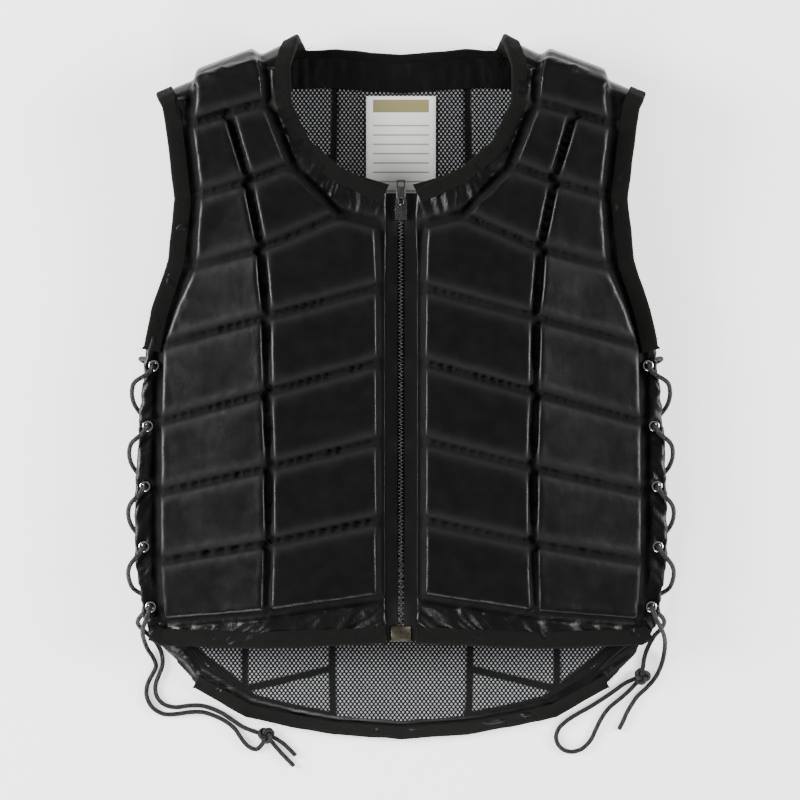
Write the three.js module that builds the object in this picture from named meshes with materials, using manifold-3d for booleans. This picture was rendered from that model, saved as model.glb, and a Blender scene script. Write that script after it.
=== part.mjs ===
// Riding body protector: a padded, zip-fronted vest lying flat on its back.
// Millimetres. +X to the viewer's right, +Y towards the collar, +Z up, out of the chest.
// The origin is under the middle of the vest, on the surface that it lies on.
import * as THREE from "three";
import { mergeVertices } from "three/addons/utils/BufferGeometryUtils.js";
import Module from "manifold-3d";

const wasm = await Module();
wasm.setup();

// Overall sizes
const LENGTH = 603; // collar to tail
const HALF_WIDTH = 229; // centre front to the edge of a side placket
const FRONT_LEVEL = 58; // seam surface of the front, above the ground
const FRONT_SIDE_LEVEL = 36; // the same at the front placket
const HEM_DROP = 7; // how much lower the front hem hangs
const BACK_SIDE_RISE = 4; // how much the back placket is pulled up by its lacing

// Padding
const SEAM_THICK = 3; // cover and lining where they are sewn together
const BLOCK_OUT = 11; // foam block above the seam, outside
const BLOCK_IN = 4; // foam block above the seam, inside
const SHOULDER_OUT = 8; // foam of the shoulder, outside
const BEVEL = 5; // width of a block's sloping side
const GAP = 0.3; // clearance between neighbouring pieces
const BACK_LEVEL = BLOCK_OUT + SEAM_THICK / 2; // the back's blocks lie on the ground

// Bindings, lining and label
const BIND_WIDTH = 9.5;
const NECK_BIND_WIDTH = 4.6;
const BIND_WALL = 1.3;
const BIND_GAP = 0.8; // clearance inside a binding
const TAIL_LEVEL = SEAM_THICK / 2 + BIND_WALL + BIND_GAP; // the tail's bound edge lies on the ground
const LINING_THICK = 1;
const LINING_MARGIN = 0.6; // the lining stops short of the bindings by this
const FACING_DEPTH = 26;
const FACING_THICK = 1;
const LABEL_WIDTH = 60;
const LABEL_LENGTH = 88;
const LABEL_THICK = 0.8;
const LABEL_TOP = 51.5; // below the collar's highest point

// Zip
const TEETH_WIDTH = 5.2;
const TEETH_THICK = 2.8;
const TAPE_WIDTH = 13.2;
const TAPE_THICK = 1.2;
const BOX_WIDTH = 17;
const BOX_LENGTH = 13;
const BOX_THICK = 5;
const SLIDER_WIDTH = 10;
const SLIDER_LENGTH = 17;
const SLIDER_PLATE = 1.3;
const BRIDGE_WIDTH = 2.2;
const BRIDGE_RISE = 3.2; // clear height under the slider's bridge
const BRIDGE_BAR = 1.2;
const PULLER_WIDTH = 7.4;
const PULLER_LENGTH = 25;
const PULLER_THICK = 1.4;
const PULLER_HOLE = 4.6;

// Side lacing
const EYELET_COUNT = 5;
const EYELET_RADIUS = 4.8;
const EYELET_BORE = 2.9;
const EYELET_WALL = 0.7;
const EYELET_FLANGE = 0.8;
const LACE = 4; // diameter
const PLACKET_INSET = 8.5; // from the placket's edge to the eyelets

const COLOURS = {
  shell: [0x0b0b0c, 0.45, 0],
  binding: [0x1d1d1a, 0.8, 0],
  lining: [0x8d8f92, 0.85, 0],
  facing: [0x101011, 0.55, 0],
  label: [0xe9e8e4, 0.6, 0],
  zip: [0x202021, 0.7, 0],
  hardware: [0x1a1a1c, 0.35, 0.8],
  metal: [0xb9b7b0, 0.3, 1],
  lace: [0x0e0e10, 0.85, 0],
};

// A table whose first list names the columns of the others
const named = (columns, rows) => (
  rows.map((row) => Object.fromEntries(columns.map((column, k) => [column, row[k]]))));

// Rows of the front half, from the hem up to the shoulder seam. Each pair is a share of
// HALF_WIDTH from the centre and a share of LENGTH below the collar. edge_in runs up the zip
// and round the neck, foot_in and foot_out bound the foam blocks, mid is the groove between
// the two columns of blocks, edge_out runs up the placket and round the armhole.
const FRONT_ROWS = named(["row", "edge_in", "foot_in", "mid", "foot_out", "edge_out"], [
  ["hem", [0.057, 0.856], [0.074, 0.856], [0.5, 0.864], [0.896, 0.861], [0.935, 0.852]],
  ["blocks end", [0.057, 0.794], [0.074, 0.794], [0.496, 0.818], [0.893, 0.832], [0.967, 0.815]],
  ["groove 6", [0.057, 0.684], [0.074, 0.684], [0.487, 0.718], [0.907, 0.746], [0.993, 0.742]],
  ["groove 5", [0.057, 0.573], [0.074, 0.573], [0.485, 0.612], [0.907, 0.649], [0.991, 0.657]],
  ["groove 4", [0.057, 0.463], [0.074, 0.463], [0.493, 0.507], [0.905, 0.55], [0.98, 0.559]],
  ["groove 3", [0.057, 0.358], [0.074, 0.358], [0.496, 0.401], [0.896, 0.442], [0.95, 0.446]],
  ["neck corner", [0.057, 0.225], [0.081, 0.272], [0.504, 0.355], [0.848, 0.388], [0.919, 0.391]],
  ["groove 2", [0.23, 0.194], [0.23, 0.258], [0.515, 0.305], [0.778, 0.331], [0.856, 0.322]],
  ["groove 1", [0.344, 0.156], [0.407, 0.187], [0.563, 0.21], [0.756, 0.231], [0.83, 0.235]],
  ["shoulder seam", [0.415, 0.101], [0.496, 0.099], [0.637, 0.114], [0.785, 0.131], [0.863, 0.128]],
]);

// Rows of the shoulder, from its front seam over the fold to its back seam, with the same
// columns.
const SHOULDER_ROWS = named(["row", "edge_in", "foot_in", "mid", "foot_out", "edge_out"], [
  ["front seam", [0.415, 0.101], [0.496, 0.099], [0.637, 0.114], [0.785, 0.131], [0.863, 0.128]],
  ["turn starts", [0.419, 0.049], [0.5, 0.061], [0.637, 0.079], [0.774, 0.097], [0.874, 0.106]],
  ["crest", [0.385, 0.006], [0.519, 0.031], [0.641, 0.048], [0.767, 0.066], [0.9, 0.087]],
  ["turn ends", [0.367, 0.02], [0.496, 0.063], [0.637, 0.08], [0.774, 0.097], [0.874, 0.106]],
  ["back seam", [0.36, 0.024], [0.496, 0.094], [0.637, 0.111], [0.785, 0.128], [0.863, 0.126]],
]);

// Rows of one half of the back, from the tail up to the neck and the shoulder seam. centre is
// on the middle line, spine is the groove beside the middle column, neck is the line below the
// neck's corner, rib is the groove between the two outer columns. lift says how far edge_out
// has risen from the tail's level to the back's.
const BACK_ROWS = named(["row", "lift", "centre", "spine", "neck", "rib", "foot_out", "edge_out"], [
  ["tail edge", 0, 0.997, [0.252, 0.99], [0.41, 0.98], [0.58, 0.965], [0.775, 0.923], [0.882, 0.876]],
  ["blocks end", 0.45, 0.974, [0.252, 0.967], [0.39, 0.957], [0.552, 0.942], [0.735, 0.9], [0.912, 0.862]],
  ["groove 7", 1, 0.889, [0.256, 0.899], [0.4, 0.912], [0.585, 0.928], [0.85, 0.85], [0.94, 0.842]],
  ["groove 6", 1, 0.777, [0.257, 0.787], [0.4, 0.8], [0.585, 0.815], [0.89, 0.79], [0.978, 0.79]],
  ["groove 5", 1, 0.671, [0.257, 0.681], [0.4, 0.694], [0.585, 0.709], [0.9, 0.726], [0.993, 0.73]],
  ["groove 4", 1, 0.567, [0.257, 0.577], [0.4, 0.59], [0.585, 0.605], [0.9, 0.629], [0.985, 0.636]],
  ["groove 3", 1, 0.463, [0.257, 0.473], [0.4, 0.486], [0.585, 0.501], [0.9, 0.528], [0.974, 0.531]],
  ["groove 2", 1, 0.359, [0.257, 0.369], [0.4, 0.382], [0.578, 0.397], [0.878, 0.425], [0.944, 0.432]],
  ["groove 1", 1, 0.255, [0.256, 0.265], [0.4, 0.278], [0.57, 0.291], [0.785, 0.312], [0.859, 0.322]],
  ["groove 0", 1, 0.165, [0.252, 0.172], [0.4, 0.184], [0.56, 0.196], [0.756, 0.214], [0.833, 0.221]],
  ["neck foot", 1, 0.06, [0.247, 0.053], [0.4, 0.06], [0.503, 0.11], [0.78, 0.141], [0.858, 0.14]],
  ["neck edge", 1, 0.03, [0.244, 0.022], [0.36, 0.024], [0.496, 0.094], [0.785, 0.128], [0.863, 0.126]],
]);

// Shares of LENGTH below the collar
const FIRST_EYELET = 0.469;
const LAST_EYELET = 0.81;
const ZIP_TOP = 0.242;
const ZIP_END = 0.835;

// A place from a table's pair: side is 1 to the viewer's right and -1 to the left.
const at = (pair, side) => new THREE.Vector2(side * pair[0] * HALF_WIDTH, (0.5 - pair[1]) * LENGTH);

const smooth = (value, low, high) => THREE.MathUtils.smoothstep(value, low, high);

// Height of the seam surface of the front and of the back at a place
const SIDE_FALL = { starts: 0.42, ends: 0.9, shoulder_share: 0.3 };
function frontLevel(x, y) {
  const out = Math.abs(x) / HALF_WIDTH;
  const down = 0.5 - y / LENGTH;
  const fall = (FRONT_LEVEL - FRONT_SIDE_LEVEL) * smooth(out, SIDE_FALL.starts, SIDE_FALL.ends);
  const low = SIDE_FALL.shoulder_share + (1 - SIDE_FALL.shoulder_share) * smooth(down, 0.15, 0.42);
  return FRONT_LEVEL - fall * low - HEM_DROP * smooth(down, 0.78, 0.87);
}
function backLevel(x) {
  return BACK_LEVEL + BACK_SIDE_RISE * smooth(Math.abs(x) / HALF_WIDTH, 0.6, 0.9);
}

// Lines of a grid. Between two grooves a block has a sloping side, a flat top and another
// sloping side, so each gap between table lines holds two more, BEVEL from either groove.
const LEVELLED = { foot: 0, top: 1 };
function blockLines(count, padded) {
  const lines = [];
  for (let k = 0; k < count - 1; k += 1) {
    lines.push({ from: k, step: "line", block: LEVELLED.foot });
    if (padded[k].low) lines.push({ from: k, step: "after", block: LEVELLED.top });
    if (padded[k].high) lines.push({ from: k, step: "before", block: LEVELLED.top });
  }
  lines.push({ from: count - 1, step: "line", block: LEVELLED.foot });
  return lines;
}
const BOTH = { low: true, high: true };
const NONE = { low: false, high: false };
const OPENS = { low: true, high: false };
const CLOSES = { low: false, high: true };

// A point between two points of a column or row: on the first, or BEVEL from one of them.
function between(first, second, step) {
  if (step === "line") return first.clone();
  const share = Math.min(BEVEL / first.distanceTo(second), 0.45);
  return first.clone().lerp(second, step === "after" ? share : 1 - share);
}

// Grid of base points from a table of points: table[row][column] are Vector3.
function gridOf(table, rowLines, columnLines) {
  const last = (list, index) => list[Math.min(index + 1, list.length - 1)];
  return rowLines.map((rowLine) => {
    const alongColumn = table[rowLine.from].map((point, column) => (
      between(point, last(table, rowLine.from)[column], rowLine.step)));
    return columnLines.map((columnLine) => (
      between(alongColumn[columnLine.from], last(alongColumn, columnLine.from), columnLine.step)));
  });
}

// Unit normal of a grid at each point, from its neighbours
function normalsOf(grid) {
  const rows = grid.length;
  const columns = grid[0].length;
  return grid.map((line, i) => line.map((point, j) => {
    const along = grid[i][Math.min(j + 1, columns - 1)].clone().sub(grid[i][Math.max(j - 1, 0)]);
    const up = grid[Math.min(i + 1, rows - 1)][j].clone().sub(grid[Math.max(i - 1, 0)][j]);
    return along.cross(up).normalize();
  }));
}

// Moves a grid along its normals: amount(i, j) in mm
function offset(grid, normals, amount) {
  return grid.map((line, i) => line.map((point, j) => (
    point.clone().addScaledVector(normals[i][j], amount(i, j)))));
}

// Closed solid from a list of vertices and triangles, turned the right way out
function solid(vertices, triangles) {
  let volume = 0;
  const cross = new THREE.Vector3();
  for (const [a, b, c] of triangles) {
    volume += vertices[a].dot(cross.crossVectors(vertices[b], vertices[c]));
  }
  const turned = volume < 0 ? triangles.map(([a, b, c]) => [a, c, b]) : triangles;
  const geometry = new THREE.BufferGeometry();
  const flat = vertices.flatMap((v) => [v.x, v.y, v.z]);
  geometry.setAttribute("position", new THREE.Float32BufferAttribute(flat, 3));
  geometry.setIndex(turned.flat());
  return geometry;
}

// Solid between two grids of the same size, closed round its rim
function slab(top, bottom) {
  const rows = top.length;
  const columns = top[0].length;
  const vertices = [...top.flat(), ...bottom.flat()];
  const id = (i, j, layer) => layer * rows * columns + i * columns + j;
  const triangles = [];
  const quad = (a, b, c, d) => triangles.push([a, b, c], [a, c, d]);
  for (let i = 0; i < rows - 1; i += 1) {
    for (let j = 0; j < columns - 1; j += 1) {
      quad(id(i, j, 0), id(i, j + 1, 0), id(i + 1, j + 1, 0), id(i + 1, j, 0));
      quad(id(i, j, 1), id(i + 1, j, 1), id(i + 1, j + 1, 1), id(i, j + 1, 1));
    }
  }
  const rim = [];
  for (let j = 0; j < columns - 1; j += 1) rim.push([0, j]);
  for (let i = 0; i < rows - 1; i += 1) rim.push([i, columns - 1]);
  for (let j = columns - 1; j > 0; j -= 1) rim.push([rows - 1, j]);
  for (let i = rows - 1; i > 0; i -= 1) rim.push([i, 0]);
  rim.forEach(([i, j], k) => {
    const [m, n] = rim[(k + 1) % rim.length];
    quad(id(i, j, 0), id(i, j, 1), id(m, n, 1), id(m, n, 0));
  });
  return solid(vertices, triangles);
}

// Solid from sections of equal length, joined in order and capped as fans
function loft(sections) {
  const size = sections[0].length;
  const triangles = [];
  for (let s = 0; s < sections.length - 1; s += 1) {
    for (let k = 0; k < size; k += 1) {
      const next = (k + 1) % size;
      const [a, b] = [s * size + k, s * size + next];
      triangles.push([a, b, b + size], [a, b + size, a + size]);
    }
  }
  return { vertices: sections.flat(), triangles, size };
}

// Booleans
function toManifold(geometry) {
  const bare = new THREE.BufferGeometry();
  bare.setAttribute("position", geometry.getAttribute("position"));
  if (geometry.index) bare.setIndex(geometry.index);
  const merged = mergeVertices(bare, 1e-4);
  return new wasm.Manifold(new wasm.Mesh({
    numProp: 3,
    vertProperties: new Float32Array(merged.getAttribute("position").array),
    triVerts: new Uint32Array(merged.index.array),
  }));
}
function fromManifold(body) {
  const mesh = body.getMesh();
  const geometry = new THREE.BufferGeometry();
  geometry.setAttribute("position", new THREE.Float32BufferAttribute(mesh.vertProperties, 3));
  geometry.setIndex(Array.from(mesh.triVerts));
  return geometry;
}
const join = (parts) => fromManifold(parts.map(toManifold).reduce((all, one) => all.add(one)));
const cut = (body, tools) => fromManifold(
  tools.map(toManifold).reduce((left, tool) => left.subtract(tool), toManifold(body)));

// Boxes and cylinders placed by their centre
const block = (x, y, z, cx, cy, cz) => new THREE.BoxGeometry(x, y, z).translate(cx, cy, cz);
const rod = (radius, length, sides) => new THREE.CylinderGeometry(radius, radius, length, sides);

const model = new THREE.Group();
function piece(name, geometry, look) {
  const [color, roughness, metalness] = COLOURS[look];
  const mesh = new THREE.Mesh(geometry, new THREE.MeshStandardMaterial({ color, roughness, metalness }));
  mesh.name = name;
  model.add(mesh);
}

// Base grids
const COLUMNS = ["edge_in", "foot_in", "mid", "foot_out", "edge_out"];
const frontTable = (side) => FRONT_ROWS.map((row) => COLUMNS.map((column) => {
  const place = at(row[column], side);
  return new THREE.Vector3(place.x, place.y, frontLevel(place.x, place.y));
}));
const FRONT_ROW_LINES = blockLines(10, [NONE, BOTH, BOTH, BOTH, BOTH, OPENS, CLOSES, BOTH, BOTH]);
const FRONT_COLUMN_LINES = blockLines(5, [NONE, BOTH, BOTH, NONE]);
// the neck's corner is a table row in the middle of a block, so its line is at block height
FRONT_ROW_LINES.find((line) => line.from === 6 && line.step === "line").block = LEVELLED.top;

// The shoulder's turning rows lie on an ellipse between where the turn starts, its crest and
// where it ends.
const TURN_STEPS = 3; // on each side of the crest
function shoulderTable(side) {
  const [seam, start, crest, end, back] = SHOULDER_ROWS;
  const place = (row, column) => at(row[column], side);
  const levels = COLUMNS.map((column) => {
    const front = place(seam, column);
    return { front: frontLevel(front.x, front.y), back: backLevel(place(back, column).x) };
  });
  const straight = (row, level) => COLUMNS.map((column, k) => {
    const spot = place(row, column);
    return new THREE.Vector3(spot.x, spot.y, levels[k][level]);
  });
  const turning = (from, angle) => COLUMNS.map((column, k) => {
    const root = place(from, column);
    const spot = root.lerp(place(crest, column), Math.sin(angle));
    const { front, back: low } = levels[k];
    return new THREE.Vector3(spot.x, spot.y, (front + low) / 2 + (front - low) / 2 * Math.cos(angle));
  });
  const rows = [straight(seam, "front")];
  for (let k = 0; k <= TURN_STEPS; k += 1) rows.push(turning(start, Math.PI / 2 * k / TURN_STEPS));
  for (let k = 1; k <= TURN_STEPS; k += 1) rows.push(turning(end, Math.PI / 2 * (1 + k / TURN_STEPS)));
  rows.push(straight(back, "back"));
  return rows;
}
const SHOULDER_ROW_COUNT = 3 + 2 * TURN_STEPS;

const BACK_COLUMNS = ["spine", "neck", "rib", "foot_out", "edge_out"];
const BACK_TABLE = BACK_ROWS.map((row, index) => {
  const half = (side) => BACK_COLUMNS.map((column) => {
    const place = at(row[column], side);
    const share = index === 0 || column === "edge_out" ? row.lift : 1;
    return new THREE.Vector3(place.x, place.y, THREE.MathUtils.lerp(TAIL_LEVEL, backLevel(place.x), share));
  });
  const middle = at([0, row.centre], 1);
  const centre = new THREE.Vector3(0, middle.y, index === 0 ? TAIL_LEVEL : backLevel(0));
  return [...half(-1).reverse(), centre, ...half(1)];
});
const BACK_ROW_LINES = blockLines(12, [NONE, ...Array(9).fill(BOTH), NONE]);
const BACK_COLUMN_LINES = blockLines(11,
  [NONE, BOTH, OPENS, CLOSES, OPENS, CLOSES, OPENS, CLOSES, BOTH, NONE]);
// the middle line and the lines below the neck's corners run across block tops
for (const line of BACK_COLUMN_LINES) {
  if (line.step === "line" && [3, 5, 7].includes(line.from)) line.block = LEVELLED.top;
}

// Padded panel: outside and inside skins either side of the base grid
function padded(grid, normals, rowLines, columnLines, outside, inside) {
  const raised = (i, j) => rowLines[i].block * columnLines[j].block;
  const skin = SEAM_THICK / 2;
  const top = offset(grid, normals, (i, j) => skin + outside * raised(i, j));
  const bottom = offset(grid, normals, (i, j) => -skin - inside * raised(i, j));
  return slab(top, bottom);
}

// Pulls the last or first row of a grid back from the seam that it shares with a neighbour
function spaceRow(grid, index, neighbour) {
  grid[index] = grid[index].map((point, j) => {
    const inward = grid[neighbour][j].clone().sub(point).normalize();
    return point.clone().addScaledVector(inward, GAP / 2 + 0.05);
  });
}

// Eyelets: their places along a placket, and the holes for them
function edgeAt(down) {
  const k = FRONT_ROWS.findIndex((row) => row.edge_out[1] < down);
  const [above, below] = [FRONT_ROWS[k].edge_out, FRONT_ROWS[k - 1].edge_out];
  return THREE.MathUtils.mapLinear(down, above[1], below[1], above[0], below[0]) * HALF_WIDTH;
}
const EYELETS = Array.from({ length: EYELET_COUNT }, (_, k) => {
  const down = THREE.MathUtils.lerp(FIRST_EYELET, LAST_EYELET, k / (EYELET_COUNT - 1));
  const edge = edgeAt(down);
  const [x, y] = [edge - PLACKET_INSET, (0.5 - down) * LENGTH];
  return { x, y, edge, front: frontLevel(x, y), back: backLevel(x) };
});
const HOLE_RADIUS = EYELET_BORE + EYELET_WALL + GAP;
const holes = (side, level) => EYELETS.map((eyelet) => (
  rod(HOLE_RADIUS, 4 * SEAM_THICK, 8).rotateX(Math.PI / 2)
    .translate(side * eyelet.x, eyelet.y, eyelet[level])));

const SIDES = [{ side: -1, name: "left" }, { side: 1, name: "right" }];
const outward = (normals, side) => normals.map((line) => line.map((n) => n.clone().multiplyScalar(side)));

// Fronts and shoulders
const fronts = SIDES.map(({ side, name }) => {
  const grid = gridOf(frontTable(side), FRONT_ROW_LINES, FRONT_COLUMN_LINES);
  const normals = outward(normalsOf(grid), side);
  const spaced = grid.map((line) => [...line]);
  spaceRow(spaced, grid.length - 1, grid.length - 2);
  const body = padded(spaced, normals, FRONT_ROW_LINES, FRONT_COLUMN_LINES, BLOCK_OUT, BLOCK_IN);
  piece(`front_panel_${name}`, cut(body, holes(side, "front")), "shell");
  return { grid, normals };
});

const SHOULDER_ROW_LINES = blockLines(SHOULDER_ROW_COUNT,
  [OPENS, ...Array(SHOULDER_ROW_COUNT - 3).fill(NONE), CLOSES]);
for (const line of SHOULDER_ROW_LINES) {
  const ends = line.step === "line" && (line.from === 0 || line.from === SHOULDER_ROW_COUNT - 1);
  line.block = ends ? LEVELLED.foot : LEVELLED.top;
}
const SHOULDER_COLUMN_LINES = blockLines(5, [NONE, OPENS, CLOSES, NONE]);
SHOULDER_COLUMN_LINES.find((line) => line.from === 2 && line.step === "line").block = LEVELLED.top;
const shoulders = SIDES.map(({ side, name }) => {
  const grid = gridOf(shoulderTable(side), SHOULDER_ROW_LINES, SHOULDER_COLUMN_LINES);
  const normals = outward(normalsOf(grid), side);
  const spaced = grid.map((line) => [...line]);
  spaceRow(spaced, 0, 1);
  spaceRow(spaced, grid.length - 1, grid.length - 2);
  piece(`shoulder_${name}`, padded(spaced, normals, SHOULDER_ROW_LINES, SHOULDER_COLUMN_LINES,
    SHOULDER_OUT, BLOCK_IN), "shell");
  return { grid, normals };
});

// Back: its outside faces the ground, so its normals point down
const backGrid = gridOf(BACK_TABLE, BACK_ROW_LINES, BACK_COLUMN_LINES);
const backNormals = outward(normalsOf(backGrid), -1);
const backSpaced = backGrid.map((line) => [...line]);
spaceRow(backSpaced, backGrid.length - 1, backGrid.length - 2);
const backBody = padded(backSpaced, backNormals, BACK_ROW_LINES, BACK_COLUMN_LINES, BLOCK_OUT, 0);
piece("back_panel", cut(backBody, SIDES.flatMap(({ side }) => holes(side, "back"))), "shell");


// Bindings: a folded tape round an edge. Each stop on the edge has its point, a neighbour
// inside the panel and the panel's outward normal.
const stop = (panel, i, j, m, n) => ({
  point: panel.grid[i][j], inner: panel.grid[m][n], normal: panel.normals[i][j],
});
function binding(name, stops, width) {
  const kept = stops.filter((s, k) => k === 0 || s.point.distanceTo(stops[k - 1].point) > 0.01);
  const slot = SEAM_THICK / 2 + BIND_GAP;
  const face = slot + BIND_WALL;
  const nose = -BIND_GAP - BIND_WALL;
  const profile = [
    [nose, 0.6 * face], [-BIND_GAP, face], [width, face], [width, slot],
    [-BIND_GAP, slot], [-BIND_GAP, -slot], [width, -slot], [width, -face],
    [-BIND_GAP, -face], [nose, -0.6 * face],
  ];
  const sections = kept.map(({ point, inner, normal }, k) => {
    const ahead = kept[Math.min(k + 1, kept.length - 1)].point;
    const behind = kept[Math.max(k - 1, 0)].point;
    const run = ahead.clone().sub(behind).normalize();
    const inward = new THREE.Vector3().crossVectors(normal, run).normalize();
    if (inward.dot(inner.clone().sub(point)) < 0) inward.negate();
    const up = new THREE.Vector3().crossVectors(run, inward).normalize();
    if (up.dot(normal) < 0) up.negate();
    return profile.map(([a, b]) => point.clone().addScaledVector(inward, a).addScaledVector(up, b));
  });
  const { vertices, triangles, size } = loft(sections);
  const caps = [[0, 1, 2], [0, 2, 3], [0, 3, 4], [9, 0, 4], [9, 4, 5], [9, 5, 6], [9, 6, 7], [9, 7, 8]];
  const end = (sections.length - 1) * size;
  for (const [a, b, c] of caps) {
    triangles.push([a, c, b], [a + end, b + end, c + end]);
  }
  piece(name, solid(vertices, triangles), "binding");
}
const rowAt = (lines, from) => lines.findIndex((line) => line.from === from && line.step === "line");
const range = (from, to) => (
  Array.from({ length: Math.abs(to - from) + 1 }, (_, k) => from + Math.sign(to - from) * k));

const back = { grid: backGrid, normals: backNormals };
const TOP = backGrid.length - 1;
const FRONT_TOP = FRONT_ROW_LINES.length - 1;
const SHOULDER_TOP = SHOULDER_ROW_LINES.length - 1;
const neckCorner = rowAt(FRONT_ROW_LINES, 6);
const neckSide = (k) => [
  ...range(neckCorner, FRONT_TOP).map((i) => stop(fronts[k], i, 0, i, 1)),
  ...range(1, SHOULDER_TOP).map((i) => stop(shoulders[k], i, 0, i, 1)),
];
const neckBack = range(rowAt(BACK_COLUMN_LINES, 7), rowAt(BACK_COLUMN_LINES, 3))
  .map((j) => stop(back, TOP, j, TOP - 1, j));
binding("neck_binding", [...neckSide(1), ...neckBack, ...neckSide(0).reverse()], NECK_BIND_WIDTH);

const FRONT_EDGE = FRONT_COLUMN_LINES.length - 1;
const SHOULDER_EDGE = SHOULDER_COLUMN_LINES.length - 1;
const armholeEnd = rowAt(BACK_ROW_LINES, 7);
SIDES.forEach(({ name }, k) => {
  const edge = k === 0 ? 0 : BACK_COLUMN_LINES.length - 1;
  const inner = k === 0 ? 1 : edge - 1;
  binding(`armhole_binding_${name}`, [
    ...range(rowAt(FRONT_ROW_LINES, 5), FRONT_TOP)
      .map((i) => stop(fronts[k], i, FRONT_EDGE, i, FRONT_EDGE - 1)),
    ...range(1, SHOULDER_TOP)
      .map((i) => stop(shoulders[k], i, SHOULDER_EDGE, i, SHOULDER_EDGE - 1)),
    ...range(TOP, armholeEnd).slice(1).map((i) => stop(back, i, edge, i, inner)),
  ], BIND_WIDTH);
  const hem = range(0, FRONT_EDGE).map((j) => stop(fronts[k], 0, j, 1, j));
  binding(`front_hem_binding_${name}`, hem, BIND_WIDTH);
});
const tail = range(BACK_COLUMN_LINES.length - 2, 1).map((j) => stop(back, 0, j, 1, j));
binding("tail_binding", tail, BIND_WIDTH);

// Mesh lining inside the back, black facing below the collar, and the label
const LINING_LEVEL = BACK_LEVEL + SEAM_THICK / 2 + GAP;
const level = (point, height) => new THREE.Vector3(point.x, point.y, point.z - BACK_LEVEL + height);
function sheet(rows, height, thick) {
  const at_height = (h) => rows.map((row) => row.map((point) => level(point, h)));
  return slab(at_height(height + thick), at_height(height));
}
const LINED = { first: 1, last: 9 }; // columns of BACK_TABLE from one block edge to the other
const liningRows = BACK_TABLE.slice(1).map((row) => row.slice(LINED.first, LINED.last + 1));
const collarRow = liningRows.length - 1;
liningRows[collarRow] = liningRows[collarRow].map((point, j) => {
  const below = liningRows[collarRow - 1][j];
  const reach = NECK_BIND_WIDTH + LINING_MARGIN;
  return point.clone().lerp(below, Math.min(reach / point.distanceTo(below), 0.9));
});
piece("back_lining", sheet(liningRows, LINING_LEVEL, LINING_THICK), "lining");

const FACED = { first: 2, last: 6 }; // columns of the lining between the neck's corners
const facingTop = liningRows[collarRow].slice(FACED.first, FACED.last + 1);
const facingEnd = facingTop.map((p) => new THREE.Vector3(p.x, p.y - FACING_DEPTH, p.z));
const facingLevel = LINING_LEVEL + LINING_THICK + GAP;
piece("neck_facing", sheet([facingEnd, facingTop], facingLevel, FACING_THICK), "facing");

const labelTop = LENGTH / 2 - LABEL_TOP;
piece("neck_label", block(LABEL_WIDTH, LABEL_LENGTH, LABEL_THICK, 0, labelTop - LABEL_LENGTH / 2,
  LINING_LEVEL + LINING_THICK + GAP + LABEL_THICK / 2), "label");

// Zip: two tapes under the folded edges, the closed teeth, the box at the end, the slider
const zipTop = (0.5 - ZIP_TOP) * LENGTH;
const zipEnd = (0.5 - ZIP_END) * LENGTH;
const ZIP_STEPS = 8;
const zipRun = range(0, ZIP_STEPS).map((k) => THREE.MathUtils.lerp(zipEnd, zipTop, k / ZIP_STEPS));
const TAPE_LEVEL = -SEAM_THICK / 2 - 2 * GAP - TAPE_THICK; // from the fronts' seam surface
function strip(fromX, toX, low, thick) {
  const line = (height) => zipRun.map((y) => [fromX, toX].map((x) => (
    new THREE.Vector3(x, y, frontLevel(x, y) + height))));
  return slab(line(low + thick), line(low));
}
SIDES.forEach(({ side, name }) => {
  const inner = TEETH_WIDTH / 2 + GAP;
  piece(`zip_tape_${name}`, strip(side * inner, side * (inner + TAPE_WIDTH), TAPE_LEVEL, TAPE_THICK), "zip");
});
const TEETH_LEVEL = TAPE_LEVEL - (TEETH_THICK - TAPE_THICK) / 2;
piece("zip_teeth", strip(-TEETH_WIDTH / 2, TEETH_WIDTH / 2, TEETH_LEVEL, TEETH_THICK), "zip");
const boxLevel = frontLevel(0, zipEnd) + TEETH_LEVEL + TEETH_THICK / 2;
const boxMid = zipEnd - GAP - BOX_LENGTH / 2;
piece("zip_box", block(BOX_WIDTH, BOX_LENGTH, BOX_THICK, 0, boxMid, boxLevel), "metal");

const teethTopLevel = FRONT_LEVEL + TEETH_LEVEL + TEETH_THICK;
const teethLowLevel = FRONT_LEVEL + TEETH_LEVEL;
const plateTop = teethTopLevel + GAP + SLIDER_PLATE;
const SLIDER_NECK = 3; // length of the slider beyond the teeth
const sliderEnd = zipTop + SLIDER_NECK + GAP;
const sliderMid = sliderEnd - SLIDER_LENGTH / 2;
const bridgeHalf = SLIDER_LENGTH / 2 - 3;
const bridgeTop = plateTop + BRIDGE_RISE + BRIDGE_BAR;
piece("zip_slider", join([
  block(SLIDER_WIDTH, SLIDER_LENGTH, SLIDER_PLATE, 0, sliderMid, plateTop - SLIDER_PLATE / 2),
  block(SLIDER_WIDTH, SLIDER_LENGTH, SLIDER_PLATE, 0, sliderMid, teethLowLevel - GAP - SLIDER_PLATE / 2),
  block(4, SLIDER_NECK, plateTop - teethLowLevel + GAP, 0, sliderEnd - SLIDER_NECK / 2,
    (plateTop + teethLowLevel - GAP) / 2),
  block(BRIDGE_WIDTH, 2 * bridgeHalf, BRIDGE_BAR, 0, sliderMid, bridgeTop - BRIDGE_BAR / 2),
  ...[-1, 1].map((end) => block(BRIDGE_WIDTH, 1.6, bridgeTop - plateTop + 0.2, 0,
    sliderMid + end * (bridgeHalf - 0.8), (bridgeTop + plateTop - 0.2) / 2)),
]), "hardware");

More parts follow.
